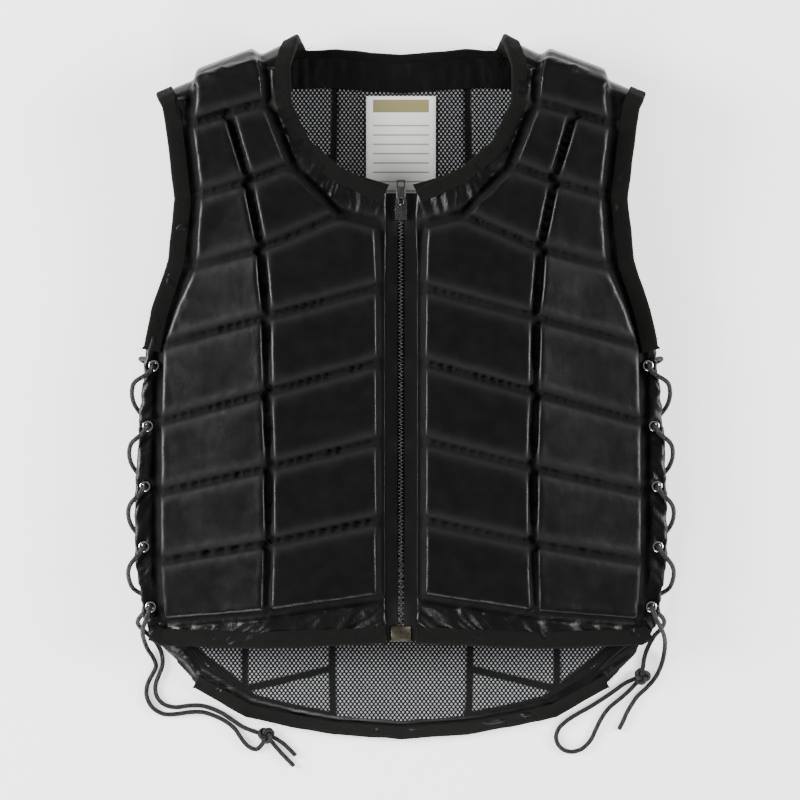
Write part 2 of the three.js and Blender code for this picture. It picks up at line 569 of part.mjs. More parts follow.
// Pull tab: a cross bar under the bridge, an eye that clears it, and a tab with a round hole
const PIVOT = { y: sliderMid + 1, z: plateTop + BRIDGE_RISE / 2 };
const EYE_LENGTH = bridgeHalf + 3;
const tabEnd = PIVOT.y - PULLER_THICK / 2 + PULLER_LENGTH;
piece("zip_puller", cut(
  block(PULLER_WIDTH, PULLER_LENGTH, PULLER_THICK, 0, tabEnd - PULLER_LENGTH / 2, PIVOT.z),
  [
    block(BRIDGE_WIDTH + 1.6, EYE_LENGTH, 3 * PULLER_THICK, 0,
      PIVOT.y + PULLER_THICK / 2 + EYE_LENGTH / 2, PIVOT.z),
    rod(PULLER_HOLE / 2, 3 * PULLER_THICK, 12).rotateX(Math.PI / 2)
      .translate(0, tabEnd - PULLER_HOLE / 2 - 1.4, PIVOT.z),
  ],
), "hardware");

// Eyelets: a flange outside the placket and a barrel through it
function eyelet(face) {
  const skin = SEAM_THICK / 2;
  const seat = skin + GAP;
  const [bore, barrel] = [EYELET_BORE, EYELET_BORE + EYELET_WALL];
  const profile = [
    [bore, -skin], [barrel, -skin], [barrel, seat], [EYELET_RADIUS, seat],
    [EYELET_RADIUS - 1, seat + EYELET_FLANGE], [bore, seat + EYELET_FLANGE], [bore, -skin],
  ].map(([r, h]) => new THREE.Vector2(r, h));
  return new THREE.LatheGeometry(profile, 8).rotateX(face * Math.PI / 2);
}
SIDES.forEach(({ side, name }) => EYELETS.forEach((place, k) => {
  const x = side * place.x;
  piece(`eyelet_front_${name}_${k + 1}`, eyelet(1).translate(x, place.y, place.front), "metal");
  piece(`eyelet_back_${name}_${k + 1}`, eyelet(-1).translate(x, place.y, place.back), "metal");
}));

// A route through chosen points: the tube has one ring at each point or share of a point
class Route extends THREE.CatmullRomCurve3 {
  getPointAt(u, target) { return this.getPoint(u, target); }

  getTangentAt(u, target) { return this.getTangent(u, target); }

  getSpacedPoints(count) { return this.getPoints(count); }
}
function tube(points) {
  const ring = new THREE.Shape();
  const sides = 8;
  for (let k = 0; k < sides; k += 1) {
    const angle = (2 * Math.PI * k) / sides;
    const [x, y] = [LACE / 2 * Math.cos(angle), LACE / 2 * Math.sin(angle)];
    if (k === 0) ring.moveTo(x, y);
    else ring.lineTo(x, y);
  }
  const extrudePath = new Route(points.map((p) => new THREE.Vector3(...p)), false, "centripetal");
  return new THREE.ExtrudeGeometry(ring, { steps: points.length - 1, extrudePath, bevelEnabled: false });
}

// The laced stretch: one lace a side, crossing between the front's and the back's eyelets
const THROUGH = SEAM_THICK / 2 + EYELET_FLANGE + GAP; // flange's outer face from the seam surface
const OVER = THROUGH + LACE / 2 + 1.2;
const AROUND = LACE / 2 + 2.4; // lace's centre beyond the placket's edge
const EDGE_SPREAD = 0.8; // how far the plackets bow out between two eyelets
const across = (a, b, share) => THREE.MathUtils.lerp(a, b, share);
function outsideWrap(from, to) {
  const [f, b] = [EYELETS[from], EYELETS[to]];
  const top = f.front + OVER;
  const low = b.back - OVER;
  const edge = Math.max(f.edge, b.edge) + EDGE_SPREAD;
  return [
    [across(f.x, f.edge, 0.5), across(f.y, b.y, 0.12), top],
    [edge + 1.4, across(f.y, b.y, 0.27), top],
    [edge + AROUND, across(f.y, b.y, 0.4), f.front - 1.5],
    [edge + AROUND, across(f.y, b.y, 0.6), b.back + 1.5],
    [edge + 1.4, across(f.y, b.y, 0.73), low],
    [across(b.x, b.edge, 0.5), across(f.y, b.y, 0.88), low],
  ];
}
const inside = (from, to) => {
  const [b, f] = [EYELETS[from], EYELETS[to]];
  const [low, high] = [b.back + OVER + 0.6, f.front - OVER];
  return [0.14, 0.5, 0.86].map((share) => [
    across(b.x, f.x, share), across(b.y, f.y, share), across(low, high, share)]);
};
const down = (k, face) => {
  const { x, y } = EYELETS[k];
  const height = EYELETS[k][face];
  const reach = face === "front" ? [OVER - 0.4, -OVER + 1.4] : [OVER - 1.4, -OVER + 0.4];
  return [reach[0], 0, reach[1]].map((z) => [x, y, height + z]);
};
const up = (k, face) => down(k, face).reverse();
const END = THROUGH + 2.5; // the laced stretch ends this far outside its last eyelet
const lastEyelet = EYELETS[EYELET_COUNT - 1];
const first = EYELETS[0];
const laced = [
  [lastEyelet.x, lastEyelet.y, lastEyelet.front + END],
  ...down(4, "front").slice(1), ...inside(3, 4).reverse(), ...down(3, "back"),
  ...outsideWrap(2, 3).reverse(), ...down(2, "front"), ...inside(1, 2).reverse(), ...down(1, "back"),
  ...outsideWrap(0, 1).reverse(), ...down(0, "front"),
  [first.x + 4, first.y + 3, first.front - OVER - 1], [first.edge + 1, first.y + 6, first.back + OVER],
  [first.edge + AROUND, first.y + 6, first.back], [first.edge + 2, first.y + 4, first.back - OVER],
  [across(first.x, first.edge, 0.5), first.y + 1.5, first.back - OVER],
  ...up(0, "back"), ...inside(0, 1), ...up(1, "front"), ...outsideWrap(1, 2), ...up(2, "back"),
  ...inside(2, 3), ...up(3, "front"), ...outsideWrap(3, 4), ...up(4, "back").slice(0, 2),
  [lastEyelet.x, lastEyelet.y, lastEyelet.back + END],
];
SIDES.forEach(({ side, name }) => {
  const points = laced.map(([x, y, z]) => [side * x, y, z]);
  piece(`lacing_${name}`, tube(points), "lace");
});

// Free ends of the laces, tied beside the tail: chosen points in millimetres, and the knots
const FREE_LACES = {
  lace_outer_left: [
    [-213.4, -187, 39.8], [-213.4, -187.2, 42], [-214.6, -190.5, 44.3], [-216.5, -196.5, 43.2],
    [-219.5, -203.5, 37], [-221, -210, 26.5], [-220.5, -217, 13], [-218, -225, 5.2],
    [-213.5, -232.5, 2.6], [-211, -240, 2.2], [-214.5, -247.5, 2.2], [-218.5, -256, 2.2],
    [-219, -266, 2.2], [-214, -275.5, 2.2], [-204.5, -281, 2.2], [-193, -281, 2.2],
    [-182, -279.5, 2.2], [-171, -279.5, 2.2], [-161, -282.5, 2.2], [-151, -287.5, 2.2],
    [-143, -294, 2.2], [-137.5, -302, 2.2], [-132, -308.5, 2.2], [-124.5, -311.5, 2.2],
    [-118.2, -307.3, 2.2],
  ],
  lace_inner_left: [
    [-213.4, -187, 22], [-213.4, -187.2, 23.4], [-215.4, -189.2, 25.2], [-219.5, -192.7, 24.8],
    [-224, -197, 20.5], [-226, -202, 13], [-223, -207.5, 6], [-216, -214, 2.8],
    [-209.5, -221.5, 2.2], [-206, -230, 2.2], [-205.5, -239, 2.2], [-208.5, -247.5, 2.2],
    [-211.5, -256.5, 2.2], [-210.5, -265.5, 2.2], [-204.5, -272.5, 2.2], [-194.5, -275.2, 2.2],
    [-183, -273.8, 2.2], [-172, -273.8, 2.2], [-162.5, -276.5, 2.2], [-153, -281, 2.2],
    [-144, -287, 2.2], [-135.5, -292.5, 2.2], [-123.7, -297.5, 2.2],
  ],
  lace_tip_a_left: [
    [-108, -301.2, 2.2], [-102, -306, 2.2], [-96, -311.5, 2.2], [-90.5, -317, 2.2],
  ],
  lace_tip_b_left: [
    [-111.3, -305.3, 2.2], [-105.5, -312, 2.2], [-99, -319, 2.2], [-92, -326, 2.2],
  ],
  lace_outer_right: [
    [213.4, -187, 39.8], [213.4, -187.2, 42], [214.6, -190.5, 44.3], [217, -196.5, 43.2],
    [221, -204, 37.5], [224.5, -211, 28], [226.5, -219, 15], [226.5, -228, 5.5], [224.5, -238, 2.2],
    [219.5, -249, 2.2], [211.5, -258.5, 2.2], [203.5, -266, 2.2], [198, -274, 2.2],
    [194, -281, 2.2], [191, -288, 2.2], [187.5, -294.5, 2.2],
  ],
  lace_inner_right: [
    [213.4, -187, 22], [213.4, -187.2, 23.4], [215.4, -189.2, 25.2], [219.5, -192.7, 24.8],
    [224, -197, 20.5], [226, -202, 13], [223.5, -207.5, 6], [218, -214, 2.8], [213.5, -222, 2.2],
    [210, -231, 2.2], [208.3, -240.7, 2.2],
  ],
  lace_loop_right: [
    [200, -251, 2.2], [193, -254.5, 2.2], [184, -261, 2.2], [174, -267.8, 2.2], [163, -274.8, 2.2],
    [152, -281, 2.2], [143, -286.8, 2.2], [136, -293.5, 2.2], [133.5, -301.5, 2.2],
    [137, -309.5, 2.2], [145, -313.5, 2.2], [155, -311.5, 2.2], [163, -304, 2.2], [168, -294, 2.2],
    [172.5, -285, 2.2], [179, -276, 2.2], [188, -268.5, 2.2], [196, -261.5, 2.2],
    [202.9, -254.8, 2.2],
  ],
};
for (const [name, points] of Object.entries(FREE_LACES)) piece(name, tube(points), "lace");

const KNOT_RADIUS = 7.5;
const KNOTS = { knot_left: [-116, -299], knot_right: [207.5, -248.5] };
const knotProfile = [[0, 0.04], [0.93, 0.04], [1, 0.3], [0.96, 0.7], [0.6, 1.08], [0, 1.2]]
  .map(([r, h]) => new THREE.Vector2(r * KNOT_RADIUS, h * KNOT_RADIUS));
for (const [name, [x, y]] of Object.entries(KNOTS)) {
  const lump = new THREE.LatheGeometry(knotProfile, 12).rotateX(Math.PI / 2).translate(x, y, 0);
  piece(name, lump, "lace");
}

export default model;
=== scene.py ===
# %% [markdown]
# # Riding body protector, lying on its back
# The vest is two padded fronts and a padded back, sewn in satin over foam blocks. A zip closes the
# front, laces draw the sides together, and a net lines the inside of the back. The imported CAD
# model gives every size and place, so each step below starts from its solids and gives them the
# surface of the real piece. Metres; +Y points to the collar and +Z up, out of the chest.

# %% Imports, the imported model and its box
import math

import bmesh
import bpy
import numpy as np
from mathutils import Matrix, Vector, noise


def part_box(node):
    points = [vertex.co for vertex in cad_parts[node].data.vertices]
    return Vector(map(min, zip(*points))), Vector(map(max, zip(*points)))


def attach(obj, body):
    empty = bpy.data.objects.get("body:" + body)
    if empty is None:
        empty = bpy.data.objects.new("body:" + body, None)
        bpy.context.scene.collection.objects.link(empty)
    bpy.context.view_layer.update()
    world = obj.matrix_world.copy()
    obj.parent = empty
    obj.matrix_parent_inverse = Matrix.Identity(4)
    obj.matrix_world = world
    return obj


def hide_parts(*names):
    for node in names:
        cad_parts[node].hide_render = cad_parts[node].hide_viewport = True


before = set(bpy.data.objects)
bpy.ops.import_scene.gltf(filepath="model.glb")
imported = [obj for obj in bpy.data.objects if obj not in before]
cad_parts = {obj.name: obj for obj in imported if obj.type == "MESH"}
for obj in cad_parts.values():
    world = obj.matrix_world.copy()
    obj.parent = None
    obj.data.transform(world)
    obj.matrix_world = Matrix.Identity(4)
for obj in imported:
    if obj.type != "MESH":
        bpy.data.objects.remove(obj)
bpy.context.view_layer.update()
MM = 0.001

# %% [markdown]
# ## Camera
# The photograph looks straight down on the vest, and its frame is 680 mm wide there. A short lens
# from close by would make the thick chest look larger than the tail. A long lens from 3.2 m keeps
# both at one scale, so the picture can be laid over the photograph.

# %% Camera
VIEW_CENTRE = (-0.85 * MM, -10.6 * MM)
VIEW_WIDTH = 680 * MM
VIEW_LEVEL = 45 * MM
CAMERA_REACH = 3.2
lens = bpy.data.cameras.new("camera")
lens.sensor_width = 36
lens.lens = lens.sensor_width * CAMERA_REACH / VIEW_WIDTH
lens.clip_end = 30
camera = bpy.data.objects.new("camera", lens)
camera.location = (*VIEW_CENTRE, VIEW_LEVEL + CAMERA_REACH)
bpy.context.scene.collection.objects.link(camera)
bpy.context.scene.camera = camera
print(f"Lens: {lens.lens:.0f} mm")

# %% [markdown]
# ## Tools for finishes
# Every finish here is one Principled shader, and what differs is the pattern that drives it. Such
# patterns could be wired node by node, but then the formula is hard to see. `Num` wraps a socket
# whose number varies over the surface, and its operators add Math nodes, so a weave or a net reads
# as a formula. `Finish` is one material. Its `node` adds any other node, settings first.

# %% Material tools
class Num:
    def __init__(self, finish, socket):
        self.finish, self.socket = finish, socket

    def math(self, operation, *others):
        values = {k + 1: other for k, other in enumerate(others)}
        return self.finish.node("ShaderNodeMath", {0: self, **values}, operation=operation)

    def __add__(self, other):
        return self.math("ADD", other)

    def __sub__(self, other):
        return self.math("SUBTRACT", other)

    def __rsub__(self, other):
        return self.finish.node("ShaderNodeMath", {0: other, 1: self}, operation="SUBTRACT")

    def __mul__(self, other):
        return self.math("MULTIPLY", other)

    __radd__ = __add__
    __rmul__ = __mul__

    def sin(self):
        return self.math("SINE")

    def clamp(self, low, high):
        """Rises softly from 0 at low to 1 at high."""
        values = {"Value": self, "From Min": low, "From Max": high}
        return self.finish.node("ShaderNodeMapRange", values, interpolation_type="SMOOTHSTEP")


class Finish:
    def __init__(self, name, specular=0.5, **sockets):
        self.material = bpy.data.materials.new(name)
        self.material.use_nodes = True
        self.tree = self.material.node_tree
        self.shader = self.tree.nodes["Principled BSDF"]
        self.shader.inputs["Specular IOR Level"].default_value = specular
        for socket, value in sockets.items():
            self.shader.inputs[socket.replace("_", " ").title()].default_value = value

    def node(self, kind, values=None, output=0, **settings):
        made = self.tree.nodes.new(kind)
        for key, value in settings.items():
            setattr(made, key, value)
        for key, value in (values or {}).items():
            if isinstance(value, Num):
                self.tree.links.new(value.socket, made.inputs[key])
            else:
                made.inputs[key].default_value = value
        return Num(self, made.outputs[output])

    def place(self):
        return self.node("ShaderNodeTexCoord", output="Object")

    def axes(self, vector):
        first = self.node("ShaderNodeSeparateXYZ", {0: vector})
        return [Num(self, socket) for socket in first.socket.node.outputs]

    def noise(self, size, detail=3, stretch=(1, 1, 1)):
        where = self.node("ShaderNodeMapping", {"Vector": self.place(), "Scale": stretch})
        return self.node("ShaderNodeTexNoise", {"Vector": where, "Scale": 1 / size, "Detail": detail})

    def attribute(self, name):
        return self.node("ShaderNodeAttribute", output="Fac", attribute_name=name)

    def blend(self, share, low, high):
        """Colour that goes from low to high with the share; each is a colour or a blend."""
        ends = {key: end if isinstance(end, Num) else (*end, 1) for key, end in ((6, low), (7, high))}
        return self.node("ShaderNodeMix", {"Factor": share, **ends}, output=2, data_type="RGBA")

    def set(self, **links):
        for socket, value in links.items():
            self.tree.links.new(value.socket, self.shader.inputs[socket.replace("_", " ").title()])
        return self

    def bump(self, height, depth, strength=1.0):
        values = {"Height": height, "Distance": depth, "Strength": strength}
        return self.set(normal=self.node("ShaderNodeBump", values))


# %% [markdown]
# ## Tools for pieces
# A piece is a mesh object at the origin, with its place in its mesh. Rounding, remeshing and
# subdividing could stay as live modifiers. They are applied at once here, because the next step
# moves the fine mesh's own points. The wrinkles are noise that is read at each point.

# %% Piece tools
def add_piece(name, mesh, material, hides, body="vest"):
    mesh.polygons.foreach_set("use_smooth", [True] * len(mesh.polygons))
    mesh.materials.clear()
    mesh.materials.append(material)
    made = bpy.data.objects.new(name, mesh)
    bpy.context.scene.collection.objects.link(made)
    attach(made, body)
    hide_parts(*hides)
    print(f"{name}: {len(mesh.polygons)} faces of {material.name}")
    return made


def cad_shape(*nodes):
    """Merged copy of CAD solids, with their triangles joined to flat faces."""
    shape = bmesh.new()
    for node in nodes:
        shape.from_mesh(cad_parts[node].data)
    for layer in list(shape.loops.layers.uv):
        shape.loops.layers.uv.remove(layer)
    bmesh.ops.remove_doubles(shape, verts=shape.verts, dist=0.01 * MM)
    bmesh.ops.join_triangles(shape, faces=shape.faces, angle_face_threshold=math.radians(30),
                             angle_shape_threshold=math.radians(70))
    return shape


def to_mesh(name, shape):
    mesh = bpy.data.meshes.new(name)
    shape.normal_update()
    shape.to_mesh(mesh)
    shape.free()
    return mesh


# %% Modifiers, applied at once
def with_modifiers(mesh, *modifiers):
    holder = bpy.data.objects.new("holder", mesh)
    bpy.context.scene.collection.objects.link(holder)
    for kind, settings in modifiers:
        modifier = holder.modifiers.new(kind.lower(), kind)
        for key, value in settings.items():
            setattr(modifier, key, value)
    evaluated = holder.evaluated_get(bpy.context.evaluated_depsgraph_get())
    finished = bpy.data.meshes.new_from_object(evaluated)
    bpy.data.objects.remove(holder)
    return finished


def finer(levels):
    return "SUBSURF", {"subdivision_type": "SIMPLE", "levels": levels, "render_levels": levels}


def softer(iterations):
    return "SMOOTH", {"factor": 0.5, "iterations": iterations}


def rounder(width):
    return "BEVEL", {"width": width, "segments": 2}


# %% Points of a mesh
def points_of(mesh):
    values = np.zeros(len(mesh.vertices) * 3)
    mesh.vertices.foreach_get("co", values)
    return values.reshape(-1, 3)


def normals_of(mesh):
    values = np.zeros(len(mesh.vertices) * 3)
    mesh.vertices.foreach_get("normal", values)
    return values.reshape(-1, 3)


def move_points(mesh, points):
    mesh.vertices.foreach_set("co", points.ravel())
    mesh.update()


def paint(mesh, name, values):
    layer = mesh.attributes.new(name, "FLOAT", "POINT")
    layer.data.foreach_set("value", values)


def smooth(value, low, high):
    share = np.clip((value - low) / (high - low), 0, 1)
    return share * share * (3 - 2 * share)


def bell(distance, width):
    return np.exp(-((distance / width) ** 2))


def noise_at(points, size, seed=0.0):
    scale = 1 / size
    return np.array([noise.noise(Vector((x * scale, y * scale, z * scale + seed)))
                     for x, y, z in points])


# %% [markdown]
# ## Satin
# The cover is thin black satin. Its colour is almost nothing, and all that shows is a soft mirror
# that breaks at each fold. Geometry alone can't be fine enough for that, so crumple and weave are
# bump, and the crumple follows `slack`, which the cover's mesh carries. Where thread gathers the
# cloth in a seam it is dull, so `groove` makes it rougher there.

# %% Satin of the cover and of the facing below the collar
def satin(name, dark, light):
    made = Finish(name, specular=0.2, roughness=0.36)
    slack, groove = made.attribute("slack"), made.attribute("groove")
    crumple = made.noise(9 * MM, 4, (1, 0.6, 1))
    weave = made.noise(0.5 * MM, 1)
    uneven = made.noise(14 * MM).clamp(0.2, 0.8)
    made.set(base_color=made.blend(made.noise(30 * MM), dark, light),
             roughness=0.29 + 0.1 * uneven + 0.6 * groove)
    return made.bump(crumple * (0.6 * slack + 0.15) + 0.06 * weave, 1.6 * MM, 0.8).material


SATIN = satin("satin", (0.0012, 0.0012, 0.0013), (0.0026, 0.0026, 0.0027))
FACING = satin("facing_satin", (0.0018, 0.0018, 0.0019), (0.0035, 0.0035, 0.0036))
print(f"Satins: {SATIN.name}, {FACING.name}")

# %% [markdown]
# ## Padded covers
# Foam blocks stand above a seam surface that falls away towards the sides. A cloth simulation
# could lay the satin over them, but it tears the thin margins and wrinkles the flat blocks. So
# the CAD solids are remeshed finely, softened, and moved in code. A point's height above the seam
# surface tells a block's top from a groove or a margin, where the satin lies slack in folds.

# %% Seam surfaces of the fronts and of the back, as in the CAD
HALF_WIDTH = 229 * MM
LENGTH = 603 * MM
FRONT_LEVEL = 58 * MM
FRONT_FALL = 22 * MM
HEM_DROP = 7 * MM
BACK_LEVEL = 12.5 * MM
BACK_RISE = 4 * MM


def front_height(point):
    """Height of a point above the fronts' seam surface."""
    out, down = abs(point[0]) / HALF_WIDTH, 0.5 - point[1] / LENGTH
    fall = FRONT_FALL * smooth(out, 0.42, 0.9) * (0.3 + 0.7 * smooth(down, 0.15, 0.42))
    return point[2] - (FRONT_LEVEL - fall - HEM_DROP * smooth(down, 0.78, 0.87))


def back_height(point):
    """Height of a point outside the back's seam surface, which is below it."""
    return BACK_LEVEL + BACK_RISE * smooth(abs(point[0]) / HALF_WIDTH, 0.6, 0.9) - point[2]


print(f"Seam surface of the fronts: {FRONT_LEVEL / MM:.0f} mm up at the zip")

# %% Foam blocks, drawn together over their grooves
GROOVE_FLOOR = 4 * MM
BLOCK_SIDE = 7 * MM
BLOCK_RIM = 8 * MM
SHORTEST_SEAM = 4 * MM
SIDE_RUN = (3 * MM, 9 * MM)  # how far a block's side runs out, at least and at most
GROOVE_PULL = {"columns": 0.3, "rows": 0.44}


def tighten(shape, height):
    """Moves each block's rim towards its groove, which leaves the groove narrow."""
    moves = {}
    for vert in shape.verts:
        pull = Vector((0, 0, 0))
        for edge in vert.link_edges:
            other = edge.other_vert(vert)
            flat = Vector((other.co.x - vert.co.x, other.co.y - vert.co.y, 0))
            falls = height(vert.co) > BLOCK_RIM and height(other.co) < GROOVE_FLOOR
            if falls and SIDE_RUN[0] < flat.length < SIDE_RUN[1]:
                pull += flat * GROOVE_PULL["rows" if abs(flat.y) > abs(flat.x) else "columns"]
        if pull.length:
            moves[vert] = pull
    for vert, move in moves.items():
        vert.co += move


def groove_lines(shape, height):
    """Lines where a block's side meets the seam surface, seen from above."""
    lines = []
    for edge in shape.edges:
        start, end = (vert.co for vert in edge.verts)
        level = max(abs(height(start)), abs(height(end)))
        if level > GROOVE_FLOOR or edge.calc_length() < SHORTEST_SEAM:
            continue
        if any(height(vert.co) > BLOCK_SIDE for face in edge.link_faces for vert in face.verts):
            lines.append((start.xy.copy(), end.xy.copy()))
    return lines


def near_segments(points, segments):
    """Distance of each point, seen from above, to the nearest of some segments."""
    nearest = np.full(len(points), 1.0)
    for start, end in segments:
        run = np.array(end - start)
        offset = points[:, :2] - np.array(start)
        share = np.clip(offset @ run / (run @ run), 0, 1)
        nearest = np.minimum(nearest, np.hypot(*(offset - share[:, None] * run).T))
    return nearest


# %% Folds of the slack satin
NECK = Vector((0, 0.262, 0))
FOLD = 2.8 * MM
FOLD_WIDTH = 11 * MM
CREASE_WIDTH = 5 * MM
SWELL = 0.9 * MM
SWELL_WIDTH = 45 * MM
NECK_GIRTH = 0.13  # cloth round the neck, in metres for each radian
SLANT = (0.75, 0.65)  # the way that the hem's folds run: so much out, so much down


def slack_folds(points, slack):
    """Folds run away from the neck above the chest, and slant towards the sides at the hem."""
    x, y, z = points.T
    angle = np.arctan2(x - NECK.x, NECK.y - y) * NECK_GIRTH
    reach = np.hypot(x - NECK.x, y - NECK.y)
    side = np.sign(x)
    near_neck = smooth(y, 0.02, 0.12)
    across = near_neck * angle + (1 - near_neck) * (x * SLANT[0] + side * y * SLANT[1])
    along = near_neck * reach + (1 - near_neck) * (y * SLANT[0] - side * x * SLANT[1])
    wander = noise_at(points, 28 * MM) * 0.006
    where = np.column_stack([across + wander, along * 0.22, z * 0.3])
    folds = 1 - 2 * abs(noise_at(where, FOLD_WIDTH, 3.1))
    creases = 1 - 2 * abs(noise_at(where, CREASE_WIDTH, 7.7))
    swell = noise_at(points, SWELL_WIDTH, 5.0)
    return slack * FOLD * (folds * 0.8 + creases * 0.2) + (1 - slack) * swell * SWELL


# %% Covers
SLACK_BELOW = (3.5 * MM, 8 * MM)  # satin is slack under the first height, tight over the second
OUTSIDE = (-0.5 * MM, 1 * MM)
GROOVE_DEPTH = 3.4 * MM
GROOVE_REACH = 2.7 * MM
SEWN_DOWN = (2 * MM, 6 * MM)
RIM = {"from groove": 6 * MM, "width": 4 * MM, "pucker": 0.35 * MM}
DULL_REACH = {"all": 2.3 * MM, "rows": 7.5 * MM}
HEM_MARGIN = -160 * MM  # below this the folds stay bright


def is_row(start, end):
    return abs((end - start).y) < abs((end - start).x) and start.y > HEM_MARGIN


def cover(name, nodes, height, voxel):
    shape = cad_shape(*nodes)
    grooves = groove_lines(shape, height)
    tighten(shape, height)
    mesh = with_modifiers(to_mesh(name, shape),
                          ("REMESH", {"mode": "VOXEL", "voxel_size": voxel}), softer(9))
    points, normals = points_of(mesh), normals_of(mesh)
    above = height(points.T)
    slack = 1 - smooth(above, *SLACK_BELOW)
    outside = smooth(above, *OUTSIDE)
    reach = near_segments(points, grooves)
    row_reach = near_segments(points, [line for line in grooves if is_row(*line)])
    dent = GROOVE_DEPTH * bell(reach, GROOVE_REACH) * outside
    rim = bell(reach - RIM["from groove"], RIM["width"]) * outside
    pucker = rim * RIM["pucker"] * noise_at(points, 9 * MM, 11.0)
    apart = smooth(reach, *SEWN_DOWN)
    lift = (slack_folds(points, slack) * apart + pucker - dent) * outside
    move_points(mesh, points + normals * lift[:, None])
    paint(mesh, "slack", np.clip(slack * apart + rim * 0.4, 0, 1))
    dull = np.maximum(bell(reach, DULL_REACH["all"]), bell(row_reach, DULL_REACH["rows"]))
    paint(mesh, "groove", dull * outside)
    piece = add_piece(name, with_modifiers(mesh, softer(1)), SATIN, nodes)
    print(f"{name}: {len(grooves)} lines of seam")
    return piece


SIDES = {"left": -1, "right": 1}
for side in SIDES:
    cover(f"front_cover_{side}", (f"front_panel_{side}", f"shoulder_{side}"), front_height, 1.9 * MM)
cover("back_cover", ("back_panel",), back_height, 2.5 * MM)

# %% [markdown]
# ## Knitted finish
# The bindings are a matt knitted tape, with ribs along it and courses across it. Its loops are far
# finer than any mesh, and a picture of a knit would stretch round the curves. Two crossing waves
# in the object's own millimetres give the loops as bump, everywhere at one size.

# %% Knitted binding
RIB_PITCH = 1.5 * MM
COURSE_PITCH = 1.3 * MM
KNIT_SLANT = 0.35


def waves(run, pitch):
    return (run * (2 * math.pi / pitch)).sin()


knit = Finish("knitted_binding", specular=0.1, roughness=0.82, sheen_weight=0.02)
knit_x, knit_y, knit_z = knit.axes(knit.place())
ribs = waves(knit_x + KNIT_SLANT * knit_y, RIB_PITCH)
courses = waves(knit_y - KNIT_SLANT * knit_x + knit_z, COURSE_PITCH)
knit.set(base_color=knit.blend(knit.noise(6 * MM), (0.0014, 0.0015, 0.0011), (0.0030, 0.0032, 0.0024)))
KNIT = knit.bump(ribs * courses + knit.noise(0.8 * MM), 0.35 * MM, 0.7).material
print(f"Knit: ribs every {RIB_PITCH / MM:.1f} mm, courses every {COURSE_PITCH / MM:.1f} mm")

# %% [markdown]
# ## Bindings
# The tape is folded over each edge and sewn down on both faces. It could be swept along the edges
# anew, but the CAD solids already have its folded section. So their copies are widened to the
# width in the photograph, their corners rounded, and noise makes them a little uneven, as a tape
# is that a hand has guided through the machine.

# %% Bindings
TAPE_WALL = (1.2 * MM, 1.4 * MM)
LIP_INSET = 0.8 * MM
MEASURE_SLACK = 0.05 * MM
NECK_TAPE = {"width": 4.6 * MM, "extra": 6 * MM}
OTHER_TAPE = {"width": 9.5 * MM, "extra": 3 * MM}
SHARP = math.radians(50)
BINDINGS = ("neck_binding", "armhole_binding_left", "armhole_binding_right",
            "front_hem_binding_left", "front_hem_binding_right", "tail_binding")


def widen(shape, width, extra):
    """Moves a folded tape's two lips further in over the cloth."""
    moves = {}
    for vert in shape.verts:
        steps = [edge.other_vert(vert).co - vert.co for edge in vert.link_edges]
        if not any(TAPE_WALL[0] < step.length < TAPE_WALL[1] for step in steps):
            continue
        for step in steps:
            if abs(step.length - width - LIP_INSET) < MEASURE_SLACK:
                moves[vert] = step.normalized() * -extra
    for vert, move in moves.items():
        vert.co += move


for node in BINDINGS:
    shape = cad_shape(node)
    widen(shape, **(NECK_TAPE if node == "neck_binding" else OTHER_TAPE))
    bent = [edge for edge in shape.edges
            if len(edge.link_faces) == 2 and edge.calc_face_angle() > SHARP]
    bmesh.ops.bevel(shape, geom=bent, offset=0.45 * MM, segments=2, affect="EDGES", profile=0.6,
                    material=-1)
    mesh = with_modifiers(to_mesh(f"{node}_tape", shape), finer(2), softer(1))
    points, normals = points_of(mesh), normals_of(mesh)
    uneven = noise_at(points, 16 * MM, 2.0) * 0.7 * MM + noise_at(points, 5 * MM, 4.0) * 0.25 * MM
    move_points(mesh, points + normals * (uneven + 0.2 * MM)[:, None])
    add_piece(f"{node}_tape", mesh, KNIT, [node])

# %% [markdown]
# ## Net finish
# The lining is black net with small staggered holes, over a silver grey backing that shows through
# them. Real holes would take millions of faces. Instead, two grids of round spots, one shifted by
# half a pitch, say where the backing shows. In the stitched channels the net is pressed flat and
# black, which the mesh marks with `channel`.

# %% Net lining
NET_PITCH = 3.6 * MM
NET_ROW_PITCH = NET_PITCH * 1.3
FAR = 50.0  # whole pitches that keep the grid's numbers above zero
net = Finish("net_lining", specular=0.12, roughness=0.75)
net_x, net_y, _ = net.axes(net.place())


def spots(shift):
    across = (net_x * (1 / NET_PITCH) + shift).math("FRACT") - 0.5
    along = (net_y * (1 / NET_ROW_PITCH) + shift).math("FRACT") - 0.5
    return across * across + 1.35 * (along * along)


thread = spots(FAR).math("MINIMUM", spots(FAR + 0.5)).clamp(0.035, 0.085)
channel = net.attribute("channel")
silver = net.blend(net.noise(25 * MM), (0.19, 0.195, 0.205), (0.28, 0.285, 0.295))
net.set(base_color=net.blend(thread.math("MAXIMUM", channel), silver, (0.003, 0.003, 0.003)))
NET = net.bump(thread + 0.6 * channel, 0.4 * MM, 0.8).material
print(f"Net: a hole every {NET_PITCH / MM:.1f} mm")

# %% [markdown]
# ## Lining
# The net is one sheet, laid on the back's foam. Channels of stitching hold it down along the
# grooves of the blocks, and between them it swells a little. The CAD sheet has an edge along each
# channel, so the channels are found from its edges, and the fine mesh sinks near them.

# %% Lining with its stitched channels
CHANNEL_HALF = 3.6 * MM
CHANNEL_DEPTH = 0.7 * MM
UNSTITCHED = (0.0, 0.4)  # shares of HALF_WIDTH where a line of the CAD's lining has no seam
SPINE = 0.26  # half the width of the panel between the two upright seams, as such a share


